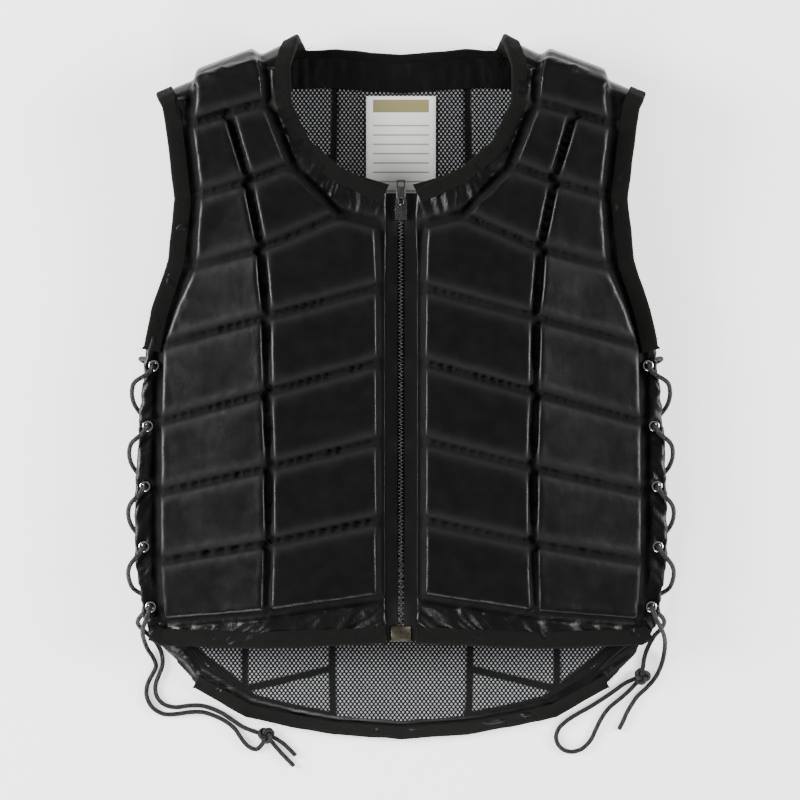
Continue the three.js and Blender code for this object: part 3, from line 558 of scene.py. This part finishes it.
def is_stitched(start, end):
    if abs(end.y - start.y) <= abs(end.x - start.x):
        return max(abs(start.x), abs(end.x)) > SPINE * HALF_WIDTH * 1.1
    return all(abs(abs(start.x) / HALF_WIDTH - share) > 0.045 for share in UNSTITCHED)


shape = cad_shape("back_lining")
ends = [[vert.co.copy() for vert in edge.verts] for edge in shape.edges]
seams = [(start.xy, end.xy) for start, end in ends
         if (end - start).length > SHORTEST_SEAM and is_stitched(start, end)]
shape.normal_update()
under = [face for face in shape.faces if face.normal.z < 0.5]
bmesh.ops.delete(shape, geom=under, context="FACES")
mesh = with_modifiers(to_mesh("lining", shape), finer(5))
points = points_of(mesh)
edge_wander = noise_at(points, 12 * MM, 9.0) * 0.8 * MM
reach = near_segments(points, seams) + edge_wander
pressed = 1 - smooth(reach, CHANNEL_HALF * 0.8, CHANNEL_HALF * 1.15)
points[:, 2] -= CHANNEL_DEPTH * pressed
points[:, 2] += noise_at(points, 30 * MM, 6.0) * 0.3 * MM
move_points(mesh, points)
paint(mesh, "channel", pressed)
lining = add_piece("lining", mesh, NET, ["back_lining"])

# %% [markdown]
# ## Facing
# A band of the same satin lines the back below the collar, and hangs a little loose. Folds that
# run down it come from noise that is stretched along Y, and `slack` turns on the satin's crumple.

# %% Facing below the collar
FACING_SPREAD = 1.13
mesh = with_modifiers(to_mesh("facing", cad_shape("neck_facing")), finer(5))
points = points_of(mesh)
points[:, 0] *= FACING_SPREAD
points[:, 2] += (noise_at(points * (1, 0.3, 1), 9 * MM, 1.0) * 0.9 + 0.3) * MM
move_points(mesh, points)
paint(mesh, "slack", np.ones(len(points)))
add_piece("facing", mesh, FACING, ["neck_facing"])

# %% [markdown]
# ## Label
# A white satin label is sewn below the collar, with a khaki band at its top. Plain rules fill the
# rest. They could be a picture on the label, but a band and rules are only steps in Y, so plain
# numbers keep their edges sharp at any distance.

# %% Label finish
LABEL_BAND = (236 * MM, 247 * MM)
PRINT_HALF = 24 * MM
RULE_PITCH = 8 * MM
RULE_SHARE = 0.16
label = Finish("label_satin", roughness=0.5, sheen_weight=0.1)
label_x, label_y, _ = label.axes(label.place())
inside = label_x.math("ABSOLUTE").math("LESS_THAN", PRINT_HALF)
band = label_y.math("GREATER_THAN", LABEL_BAND[0]) * label_y.math("LESS_THAN", LABEL_BAND[1]) * inside
rule = (label_y * (1 / RULE_PITCH)).math("FRACT").math("LESS_THAN", RULE_SHARE)
ruled = rule * label_y.math("LESS_THAN", LABEL_BAND[0] - 5 * MM) * inside
ground = label.blend(label.noise(12 * MM), (0.86, 0.85, 0.82), (0.93, 0.925, 0.90))
with_rules = label.blend(ruled, ground, (0.36, 0.36, 0.35))
label.set(base_color=label.blend(band, with_rules, (0.26, 0.24, 0.105)))
LABEL = label.bump(label.noise(0.6 * MM) + label.noise(9 * MM), 0.3 * MM, 0.6).material
print(f"Label: rules every {RULE_PITCH / MM:.0f} mm")

# %% Label
mesh = with_modifiers(to_mesh("label", cad_shape("neck_label")), rounder(0.3 * MM), finer(4))
points = points_of(mesh)
points[:, 2] += (noise_at(points, 26 * MM, 2.0) * 0.5 + 0.2) * MM
move_points(mesh, points)
add_piece("label", mesh, LABEL, ["neck_label"])

# %% [markdown]
# ## Finishes of the zip and the eyelets
# The zip's tapes are woven in a twill, its coil is shiny nylon, and its metal is small, dark and a
# little worn. The twill's lines and the coil's turns are waves along the zip. They give the bump,
# and the colour is darker in the hollows of these waves: painted shade. The metals share one
# finish, and differ in colour, in roughness and in a coat over the enamel.

# %% Zip tape, coil and metals
TOOTH_PITCH = 1.5 * MM
TWILL_PITCH = 1.2 * MM

tape = Finish("zip_tape", specular=0.2, roughness=0.8)
tape_x, tape_y, _ = tape.axes(tape.place())
twill = waves(tape_x.math("ABSOLUTE") + tape_y, TWILL_PITCH)
# painted shade: the colour is darker in the twill's hollows than on its ridges
tape.set(base_color=tape.blend(twill.clamp(-1, 1), (0.002, 0.002, 0.002), (0.006, 0.006, 0.006)))
TAPE = tape.bump(twill, 0.2 * MM, 0.7).material

coil = Finish("zip_coil", roughness=0.4)
turns = waves(coil.axes(coil.place())[1], TOOTH_PITCH)
# painted shade: the colour is darker between the coil's turns than on them
coil.set(base_color=coil.blend(turns.clamp(-1, 1), (0.002, 0.002, 0.002), (0.009, 0.009, 0.009)))
COIL = coil.bump(turns, 0.4 * MM, 0.8).material


def metal(name, colour, roughness, metallic=1.0, coat=0.0):
    made = Finish(name, metallic=metallic, coat_weight=coat)
    dark = tuple(0.7 * part for part in colour)
    made.set(base_color=made.blend(made.noise(4 * MM), dark, colour))
    made.set(roughness=0.15 * made.noise(2 * MM, 5).clamp(0.2, 0.8) + roughness)
    return made.bump(made.noise(0.8 * MM), 0.05 * MM, 0.5).material


NICKEL = metal("nickel", (0.62, 0.62, 0.61), 0.16)
BRASS = metal("pale_brass", (0.10, 0.088, 0.066), 0.32)
ENAMEL = metal("black_enamel", (0.035, 0.035, 0.036), 0.22, 0.6, 0.5)
print(f"Zip: {TAPE.name}, {COIL.name}, {BRASS.name}, {ENAMEL.name}")

# %% [markdown]
# ## Zip
# Two woven tapes lie side by side, with a coil of nylon teeth between them, a metal box at the
# foot, and a slider with its pull tab at the top. The tapes run a little under the collar and the
# hem, so their ends are stretched there. Each tooth is drawn as a flat outline and pushed along
# the zip. The metal parts keep their CAD form, and only their edges are rounded.

# %% Tapes of the zip
TAPE_TOP = (140 * MM, 155.5 * MM)
TAPE_FOOT = (-201.5 * MM, -188 * MM)
TOP_GROWS = 9 * MM
FOOT_GROWS = 13 * MM
for side in SIDES:
    mesh = with_modifiers(to_mesh(f"tape_{side}", cad_shape(f"zip_tape_{side}")),
                          rounder(0.25 * MM), finer(3))
    points = points_of(mesh)
    points[:, 1] += TOP_GROWS * smooth(points[:, 1], *TAPE_TOP)
    points[:, 1] -= FOOT_GROWS * (1 - smooth(points[:, 1], *TAPE_FOOT))
    points[:, 2] += noise_at(points, 18 * MM, 8.0) * 0.25 * MM
    move_points(mesh, points)
    add_piece(f"tape_{side}", mesh, TAPE, [f"zip_tape_{side}"])

# %% Teeth of the coil
TOOTH_OUTLINE = [  # share of the strip's half width, and millimetres below its top
    (-0.35, 0.3), (-0.15, 0.0), (0.5, -0.1), (0.92, 0.25), (0.92, 2.0), (0.3, 2.6), (-0.35, 2.2),
]
TOOTH_LENGTH = 0.84 * TOOTH_PITCH
strip = cad_shape("zip_teeth")
strip_top = {}
for vert in strip.verts:
    y = round(vert.co.y, 4)
    strip_top[y] = max(strip_top.get(y, vert.co.z), vert.co.z)
strip.free()
run = sorted(strip_top)
strip_low, strip_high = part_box("zip_teeth")
strip_half = (strip_high.x - strip_low.x) / 2
tooth_count = int((strip_high.y - strip_low.y) / TOOTH_PITCH)
teeth = bmesh.new()
for k in range(tooth_count):
    middle_y = strip_low.y + (k + 0.5) * TOOTH_PITCH
    top = float(np.interp(middle_y, run, [strip_top[y] for y in run]))
    way = 1 if k % 2 else -1
    corners = [teeth.verts.new((way * x * strip_half, middle_y - TOOTH_LENGTH / 2, top - z * MM))
               for x, z in TOOTH_OUTLINE]
    grown = bmesh.ops.extrude_face_region(teeth, geom=[teeth.faces.new(corners)])["geom"]
    moved = [part for part in grown if isinstance(part, bmesh.types.BMVert)]
    bmesh.ops.translate(teeth, verts=moved, vec=(0, TOOTH_LENGTH, 0))
bmesh.ops.recalc_face_normals(teeth, faces=teeth.faces)
mesh = with_modifiers(to_mesh("coil", teeth), rounder(0.25 * MM))
add_piece("coil", mesh, COIL, ["zip_teeth"])
print(f"coil: {tooth_count} teeth")

# %% Metal parts of the zip
METAL_PARTS = [
    ("end_box", "zip_box", BRASS, "zip_box", 0.8 * MM, "vest"),
    ("slider", "zip_slider", ENAMEL, "zip_slider", 0.35 * MM, "vest"),
    ("pull_tab", "zip_puller", ENAMEL, "zip_slider", 0.3 * MM, "puller"),
]
for name, node, material, slot, edge, body in METAL_PARTS:
    rounded = ("BEVEL", {"width": edge, "segments": 3, "limit_method": "ANGLE",
                         "harden_normals": True, "angle_limit": math.radians(35)})
    add_piece(name, with_modifiers(to_mesh(name, cad_shape(node)), rounded), material,
              [node], body)

# %% [markdown]
# ## Eyelets
# Each eyelet is a nickel ring: a flange rolled over on the face, and a barrel through the cloth.
# The CAD ring is plain. A profile with the rolled edge is spun round its axis instead, which is
# how such a ring is drawn for the press.

# %% Eyelets
EYELET_STEPS = 40
BARREL = {"inside": 0.56, "outside": 0.72}  # shares of the flange's radius
FLANGE = [  # share of the flange's radius, and height over the eyelet's face
    (0.56, -0.9 * MM), (0.60, -0.25 * MM), (0.70, 0), (0.84, -0.02 * MM), (0.96, -0.28 * MM),
    (1.0, -0.62 * MM), (0.97, -0.8 * MM), (0.74, -0.8 * MM),
]


def spun_ring(node, turn):
    low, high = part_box(node)
    middle = (low + high) / 2
    radius = (high.y - low.y) / 2
    face = high.z if turn > 0 else low.z
    deep = high.z - low.z
    profile = [(BARREL["inside"], -deep), *FLANGE, (BARREL["outside"], -deep)]
    ring = bmesh.new()
    corners = [ring.verts.new((middle.x + share * radius, middle.y, face + turn * height))
               for share, height in profile]
    outline = [ring.edges.new(pair) for pair in zip(corners, corners[1:] + corners[:1])]
    bmesh.ops.spin(ring, geom=corners + outline, cent=middle, axis=(0, 0, 1), angle=2 * math.pi,
                   steps=EYELET_STEPS, use_merge=True)
    bmesh.ops.recalc_face_normals(ring, faces=ring.faces)
    return to_mesh(f"{node}_ring", ring)


for side in SIDES:
    for face, turn in (("front", 1), ("back", -1)):
        for k in range(1, 6):
            node = f"eyelet_{face}_{side}_{k}"
            add_piece(f"ring_{face}_{side}_{k}", spun_ring(node, turn), NICKEL, [node])

# %% [markdown]
# ## Braided finish
# The laces are round black braid: strands that cross as they wind along the tube. The pattern has
# to bend with the lace, so it is made on the tube's own map, which runs once round across it and
# counts girths along it. The higher of two opposite spirals is the strand on top.
# Where the strands part, the colour is darker than on top of them: painted shade.

# %% Braided lace
STRANDS = 4
STRAND_LEAN = 1.6
braid = Finish("braided_lace", specular=0.3, roughness=0.6, sheen_weight=0.03)
around, along, _ = braid.axes(braid.node("ShaderNodeTexCoord", output="UV"))


def strand(turn):
    return waves(STRANDS * around + turn * STRAND_LEAN * along, 1)


plait = strand(1).math("MAXIMUM", strand(-1))
# painted shade: the colour is darker in the gaps between the strands than on them
braid.set(base_color=braid.blend(plait.clamp(-0.4, 1), (0.001, 0.001, 0.001), (0.007, 0.007, 0.0072)))
BRAID = braid.bump(plait, 0.5 * MM, 0.9).material
print(f"Braid: {STRANDS} strands each way round")

# %% [markdown]
# ## Laces
# A lace is a fixed length of limp cord. It leaves its last eyelet, drops to the floor, and lies
# there in the loose curves of the photograph. A simulation would drop it somewhere else, so each
# route is given in millimetres, along its CAD tube. A smooth line runs through the
# route's points, and a tube with the braid's map is made along that line.

# %% Routes of the free laces
FREE_LACES = {
    "lace_outer_left": [
        (-213.4, -187, 39.8), (-213.4, -187.2, 42), (-214.6, -190.5, 44.3), (-216.5, -196.5, 43.2),
        (-219.5, -203.5, 37), (-221, -210, 26.5), (-220.5, -217, 13), (-218, -225, 5.2),
        (-213.5, -232.5, 2.6), (-211, -240, 2.2), (-214.5, -247.5, 2.2), (-218.5, -256, 2.2),
        (-219, -266, 2.2), (-214, -275.5, 2.2), (-204.5, -281, 2.2), (-193, -281, 2.2),
        (-182, -279.5, 2.2), (-171, -279.5, 2.2), (-161, -282.5, 2.2), (-151, -287.5, 2.2),
        (-143, -294, 2.2), (-137.5, -302, 2.2), (-132, -308.5, 2.2), (-124.5, -311.5, 2.2),
        (-118.2, -307.3, 2.2),
    ],
    "lace_inner_left": [
        (-213.4, -187, 22), (-213.4, -187.2, 23.4), (-215.4, -189.2, 25.2), (-219.5, -192.7, 24.8),
        (-224, -197, 20.5), (-226, -202, 13), (-223, -207.5, 6), (-216, -214, 2.8),
        (-209.5, -221.5, 2.2), (-206, -230, 2.2), (-205.5, -239, 2.2), (-208.5, -247.5, 2.2),
        (-211.5, -256.5, 2.2), (-210.5, -265.5, 2.2), (-204.5, -272.5, 2.2), (-194.5, -275.2, 2.2),
        (-183, -273.8, 2.2), (-172, -273.8, 2.2), (-162.5, -276.5, 2.2), (-153, -281, 2.2),
        (-144, -287, 2.2), (-135.5, -292.5, 2.2), (-123.7, -297.5, 2.2),
    ],
    "lace_tip_a_left": [
        (-108, -301.2, 2.2), (-102, -306, 2.2), (-96, -311.5, 2.2), (-90.5, -317, 2.2),
    ],
    "lace_tip_b_left": [
        (-111.3, -305.3, 2.2), (-105.5, -312, 2.2), (-99, -319, 2.2), (-92, -326, 2.2),
    ],
    "lace_outer_right": [
        (213.4, -187, 39.8), (213.4, -187.2, 42), (214.6, -190.5, 44.3), (217, -196.5, 43.2),
        (221, -204, 37.5), (224.5, -211, 28), (226.5, -219, 15), (226.5, -228, 5.5),
        (224.5, -238, 2.2), (219.5, -249, 2.2), (211.5, -258.5, 2.2), (203.5, -266, 2.2),
        (198, -274, 2.2), (194, -281, 2.2), (191, -288, 2.2), (187.5, -294.5, 2.2),
    ],
    "lace_inner_right": [
        (213.4, -187, 22), (213.4, -187.2, 23.4), (215.4, -189.2, 25.2), (219.5, -192.7, 24.8),
        (224, -197, 20.5), (226, -202, 13), (223.5, -207.5, 6), (218, -214, 2.8),
        (213.5, -222, 2.2), (210, -231, 2.2), (208.3, -240.7, 2.2),
    ],
    "lace_loop_right": [
        (200, -251, 2.2), (193, -254.5, 2.2), (184, -261, 2.2), (174, -267.8, 2.2),
        (163, -274.8, 2.2), (152, -281, 2.2), (143, -286.8, 2.2), (136, -293.5, 2.2),
        (133.5, -301.5, 2.2), (137, -309.5, 2.2), (145, -313.5, 2.2), (155, -311.5, 2.2),
        (163, -304, 2.2), (168, -294, 2.2), (172.5, -285, 2.2), (179, -276, 2.2),
        (188, -268.5, 2.2), (196, -261.5, 2.2), (202.9, -254.8, 2.2),
    ],
}
LACE_RADIUS = 2 * MM
print(f"Free laces: {len(FREE_LACES)}, {2 * LACE_RADIUS / MM:.0f} mm thick")


# %% Smooth line and tube
def spline(points, steps=5):
    """Centripetal Catmull-Rom line through the points."""
    ends = [2 * points[0] - points[1], *points, 2 * points[-1] - points[-2]]
    line = []
    for k in range(len(points) - 1):
        p0, p1, p2, p3 = ends[k:k + 4]
        t0 = 0.0
        t1 = t0 + math.sqrt((p1 - p0).length)
        t2 = t1 + math.sqrt((p2 - p1).length)
        t3 = t2 + math.sqrt((p3 - p2).length)
        for step in range(steps):
            t = t1 + (t2 - t1) * step / steps
            a = p0.lerp(p1, (t - t0) / (t1 - t0))
            b = p1.lerp(p2, (t - t1) / (t2 - t1))
            c = p2.lerp(p3, (t - t2) / (t3 - t2))
            d, e = a.lerp(b, (t - t0) / (t2 - t0)), b.lerp(c, (t - t1) / (t3 - t1))
            line.append(d.lerp(e, (t - t1) / (t2 - t1)))
    return [*line, points[-1].copy()]


def length_of(line):
    return sum((b - a).length for a, b in zip(line, line[1:]))


LACE_SIDES = 12
END_SHARE = 0.8  # a lace's end is this much thinner


def lace_mesh(name, line):
    """Tube along a line, with its own map: once round across, and its length in girths along."""
    shape = bmesh.new()
    layer = shape.loops.layers.uv.new("UVMap")
    last = len(line) - 1
    tangents = [(line[min(k + 1, last)] - line[max(k - 1, 0)]).normalized() for k in range(last + 1)]
    across = tangents[0].orthogonal().normalized()
    rings, travelled = [], [0.0]
    for k, (point, tangent) in enumerate(zip(line, tangents)):
        if k:
            travelled.append(travelled[-1] + (point - line[k - 1]).length)
        across = (across - tangent * across.dot(tangent)).normalized()
        other = tangent.cross(across)
        size = LACE_RADIUS * (END_SHARE if k in (0, last) else 1)
        rings.append([shape.verts.new(point + size * (math.cos(a) * across + math.sin(a) * other))
                      for a in (2 * math.pi * i / LACE_SIDES for i in range(LACE_SIDES))])
    girth = 2 * math.pi * LACE_RADIUS
    for k in range(last):
        for i in range(LACE_SIDES):
            j = (i + 1) % LACE_SIDES
            face = shape.faces.new((rings[k][i], rings[k][j], rings[k + 1][j], rings[k + 1][i]))
            corners = [(i, k), (i + 1, k), (i + 1, k + 1), (i, k + 1)]
            for loop, (u, v) in zip(face.loops, corners):
                loop[layer].uv = (u / LACE_SIDES, travelled[v] / girth)
    shape.faces.new(rings[0][::-1])
    shape.faces.new(rings[-1])
    return to_mesh(name, shape)


# %% [markdown]
# ## Knots
# The laces of each side are tied together near their ends. A tied knot is hard to lay by hand, and
# under its turns nobody sees how it goes. So each knot is one lace along a closed overhand turn,
# a trefoil, lying on the floor, and the laces run a little way into it.

# %% Knots
KNOT_PLACES = {"knot_left": (-116, -299, 0.6), "knot_right": (207.5, -248.5, 2.2)}
KNOT_STEPS = 60
KNOT_REACH = (3.9, 1.9)  # millimetres: middle of the turns, and how far they swing
KNOT_LEVEL = (4.4, 2.1)


def knot_line(x, y, turned):
    line = []
    for step in range(KNOT_STEPS + 1):
        t = 2 * math.pi * step / KNOT_STEPS
        reach = KNOT_REACH[0] + KNOT_REACH[1] * math.cos(3 * t)
        level = KNOT_LEVEL[0] + KNOT_LEVEL[1] * math.sin(3 * t)
        line.append(MM * Vector((x + reach * math.cos(2 * t + turned),
                                 y + reach * math.sin(2 * t + turned), level)))
    return line


for name, place in KNOT_PLACES.items():
    add_piece(f"{name}_turns", lace_mesh(name, knot_line(*place)), BRAID, [name])

# %% Free laces
KNOT_NEAR = 13 * MM
INTO_KNOT = 3 * MM


def into_knot(point):
    """An end beside a knot goes a little way into its turns."""
    for x, y, _ in KNOT_PLACES.values():
        gap = Vector((x * MM - point.x, y * MM - point.y, 0))
        if gap.length < KNOT_NEAR:
            return point + gap.normalized() * INTO_KNOT
    return point


lines, laces = {}, {}
for name, route in FREE_LACES.items():
    middle = [Vector(point) * MM for point in route]
    lines[name] = spline([into_knot(middle[0]), *middle[1:-1], into_knot(middle[-1])])
    laces[name] = add_piece(f"{name}_braid", lace_mesh(name, lines[name]), BRAID, [name])

# %% [markdown]
# ## Cords
# Each free lace's real length along its line is printed, so that whoever reuses the part knows
# how much lace there is. BEYOND lists what is tied to each lace's far end. The two tips beyond the
# left knot are too short to be cords of their own, and are listed with the left laces.

# %% Cords
BEYOND = {
    "lace_outer_left": ["knot_left", "lace_tip_a_left"],
    "lace_inner_left": ["knot_left", "lace_tip_b_left"],
    "lace_outer_right": ["knot_right"],
    "lace_inner_right": ["knot_right"],
    "lace_loop_right": ["knot_right"],
}
for name, beyond in BEYOND.items():
    line = lines[name]
    length_of(line)
    print(f"{name}: {length_of(line):.4f} m of lace")

# %% [markdown]
# ## Laced sides
# At each side one lace crosses from eyelet to eyelet, and draws the front and the back together.
# It is held at every eyelet, so it is no loose cord. Its CAD tube already takes the right way
# through the rings. The middles of the tube's rings give the line for a finer tube.

# %% Laced stretches through the eyelets
LACING_START = (213.35 * MM, -186.9 * MM, 39.3 * MM)
RING_SIDES = 8


def ring_middles(node, start):
    """Middles of a CAD tube's rings, found ring by ring from the end nearest to start."""
    shape = cad_shape(node)
    ring = sorted(shape.verts, key=lambda vert: (vert.co - start).length)[:RING_SIDES]
    seen, middles = set(ring), []
    while ring:
        middles.append(sum((vert.co for vert in ring), Vector()) / len(ring))
        beside = {edge.other_vert(vert) for vert in ring for edge in vert.link_edges}
        ring = [vert for vert in shape.verts if vert in beside and vert not in seen]
        seen.update(ring)
    shape.free()
    return middles


for side, turn in SIDES.items():
    start = Vector((turn * LACING_START[0], *LACING_START[1:]))
    line = spline(ring_middles(f"lacing_{side}", start))
    add_piece(f"lacing_{side}_braid", lace_mesh(f"lacing_{side}", line), BRAID,
              [f"lacing_{side}"])
    print(f"lacing_{side}: {length_of(line):.3f} m of lace")

# %% [markdown]
# ## Floor
# The photograph has a plain white ground with hardly a shadow. A white floor alone turns grey in
# the vest's own shade, so this one also glows a little. The shadows stay, but pale.

# %% Floor
FLOOR_REACH = 4.0
FLOOR_DROP = 0.2 * MM
floor_finish = Finish("floor", roughness=0.9, emission_color=(1, 1, 1, 1), emission_strength=1.1)
mottle = floor_finish.noise(0.4)
floor_finish.set(base_color=floor_finish.blend(mottle, (0.90, 0.90, 0.90), (0.93, 0.93, 0.93)))
ground = bmesh.new()
bmesh.ops.create_grid(ground, x_segments=1, y_segments=1, size=FLOOR_REACH)
bmesh.ops.translate(ground, verts=ground.verts, vec=(0, 0, -FLOOR_DROP))
floor_mesh = to_mesh("floor", ground)
floor_mesh.materials.append(floor_finish.material)
floor = bpy.data.objects.new("floor", floor_mesh)
bpy.context.scene.collection.objects.link(floor)
print(f"Floor: {len(floor_mesh.polygons)} face, {2 * FLOOR_REACH:.0f} m wide")

# %% [markdown]
# ## Light
# Black satin shows only what it mirrors, so the lamps decide its look. A weak even world keeps the
# grooves black. The key stands low at the upper left and the fill at the right, which draws thin
# lights on the blocks' upright rims. A third, low lamp catches the folds of the hem.

# %% World and lamps
world = bpy.data.worlds.new("studio")
world.use_nodes = True
background = world.node_tree.nodes["Background"]
background.inputs["Color"].default_value = (1, 1, 1, 1)
background.inputs["Strength"].default_value = 0.3
bpy.context.scene.world = world

LAMPS = {
    "key": {"place": (-2.4, 0.4, 1.15), "size": 1.2, "watts": 210},
    "fill": {"place": (2.4, 0.3, 1.2), "size": 1.2, "watts": 150},
    "low": {"place": (-0.6, -2.4, 1.2), "size": 0.9, "watts": 70},
}
for name, lamp in LAMPS.items():
    data = bpy.data.lights.new(name, "AREA")
    data.size = lamp["size"]
    data.energy = lamp["watts"]
    light = bpy.data.objects.new(name, data)
    light.location = lamp["place"]
    light.rotation_euler = (-Vector(lamp["place"])).to_track_quat("-Z", "Y").to_euler()
    bpy.context.scene.collection.objects.link(light)
    print(f"{name}: {lamp['watts']} W")
